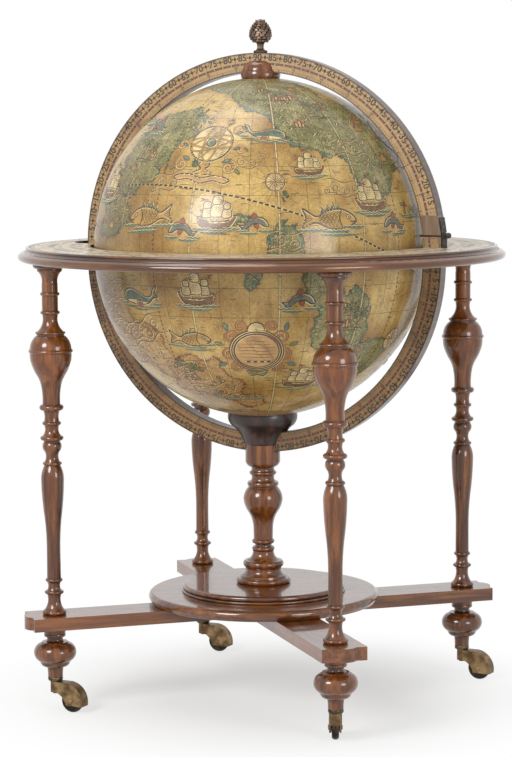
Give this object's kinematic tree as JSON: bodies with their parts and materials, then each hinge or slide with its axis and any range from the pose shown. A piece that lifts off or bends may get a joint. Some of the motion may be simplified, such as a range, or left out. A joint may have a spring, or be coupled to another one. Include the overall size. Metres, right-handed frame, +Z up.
{
  "type": "globe bar",
  "caption": "Floor-standing antique-style globe bar: hinged upper globe over a bottle bowl, horizon ring on turned legs, crossed base boards with brass casters.",
  "frame": {"origin": "on the floor, under the column's axis", "axes": "+Z up; X in the plane of the meridian, +X towards the lid's hinge"},
  "size_m": [0.8718, 0.8718, 1.2211],
  "materials": {
    "walnut": "polished",
    "meridian_wood": "printed and varnished",
    "dark_wood": "polished, nearly black",
    "plain_wood": "satin",
    "printed_shell": "printed and varnished",
    "printed_paper": "printed and varnished",
    "brass": "aged",
    "dark_iron": "dark bronzed"
  },
  "bodies": {
    "stand": {"horizon_ring": "walnut", "base_disc": "walnut", "base_step": "walnut", "column": "walnut", "lower_cross_board": "walnut", "upper_cross_board": "walnut", "right_leg": "walnut", "back_leg": "walnut", "left_leg": "walnut", "front_leg": "walnut", "right_foot": "walnut", "back_foot": "walnut", "left_foot": "walnut", "front_foot": "walnut", "lower_meridian": "meridian_wood", "pole_cup": "dark_wood", "upper_dowels": "plain_wood", "lower_dowels": "plain_wood", "lower_rim": "plain_wood", "bottle_tray": "plain_wood", "well_floor": "plain_wood", "lower_shell": "printed_shell", "horizon_paper": "printed_paper", "right_caster_socket": "brass", "back_caster_socket": "brass", "left_caster_socket": "brass", "front_caster_socket": "brass", "hinge_leaf_fixed": "dark_iron", "hinge_pin": "dark_iron"},
    "lid": {"upper_shell": "printed_shell", "upper_rim": "plain_wood", "upper_meridian": "meridian_wood", "hinge_block": "walnut", "pole_hub": "walnut", "finial_stem": "brass", "finial_cone": "brass", "hinge_leaf_lid": "dark_iron"},
    "right_caster": {"right_caster_horn": "brass", "right_caster_axle": "brass"},
    "right_wheel": {"right_caster_wheel": "brass"},
    "back_caster": {"back_caster_horn": "brass", "back_caster_axle": "brass"},
    "back_wheel": {"back_caster_wheel": "brass"},
    "left_caster": {"left_caster_horn": "brass", "left_caster_axle": "brass"},
    "left_wheel": {"left_caster_wheel": "brass"},
    "front_caster": {"front_caster_horn": "brass", "front_caster_axle": "brass"},
    "front_wheel": {"front_caster_wheel": "brass"}
  },
  "joints": [
    {"name": "lid_hinge", "type": "hinge", "parent": "stand", "child": "lid", "pos_m": [0.3513, 0, 0.8415], "axis": [0, 1, 0], "range_deg": [0, 95]},
    {"name": "right_caster_swivel", "type": "hinge", "parent": "stand", "child": "right_caster", "pos_m": [0.28983, 0.26096, 0.045], "axis": [0, 0, 1], "continuous": true},
    {"name": "right_wheel_spin", "type": "hinge", "parent": "right_caster", "child": "right_wheel", "pos_m": [0.32478, 0.25913, 0.021], "axis": [0.0523, 0.9986, 0], "continuous": true},
    {"name": "back_caster_swivel", "type": "hinge", "parent": "stand", "child": "back_caster", "pos_m": [-0.26096, 0.28983, 0.045], "axis": [0, 0, 1], "continuous": true},
    {"name": "back_wheel_spin", "type": "hinge", "parent": "back_caster", "child": "back_wheel", "pos_m": [-0.22601, 0.288, 0.021], "axis": [0.0523, 0.9986, 0], "continuous": true},
    {"name": "left_caster_swivel", "type": "hinge", "parent": "stand", "child": "left_caster", "pos_m": [-0.28983, -0.26096, 0.045], "axis": [0, 0, 1], "continuous": true},
    {"name": "left_wheel_spin", "type": "hinge", "parent": "left_caster", "child": "left_wheel", "pos_m": [-0.25487, -0.26279, 0.021], "axis": [0.0523, 0.9986, 0], "continuous": true},
    {"name": "front_caster_swivel", "type": "hinge", "parent": "stand", "child": "front_caster", "pos_m": [0.26096, -0.28983, 0.045], "axis": [0, 0, 1], "continuous": true},
    {"name": "front_wheel_spin", "type": "hinge", "parent": "front_caster", "child": "front_wheel", "pos_m": [0.24672, -0.25785, 0.021], "axis": [-0.9135, -0.4067, 0], "continuous": true}
  ]
}
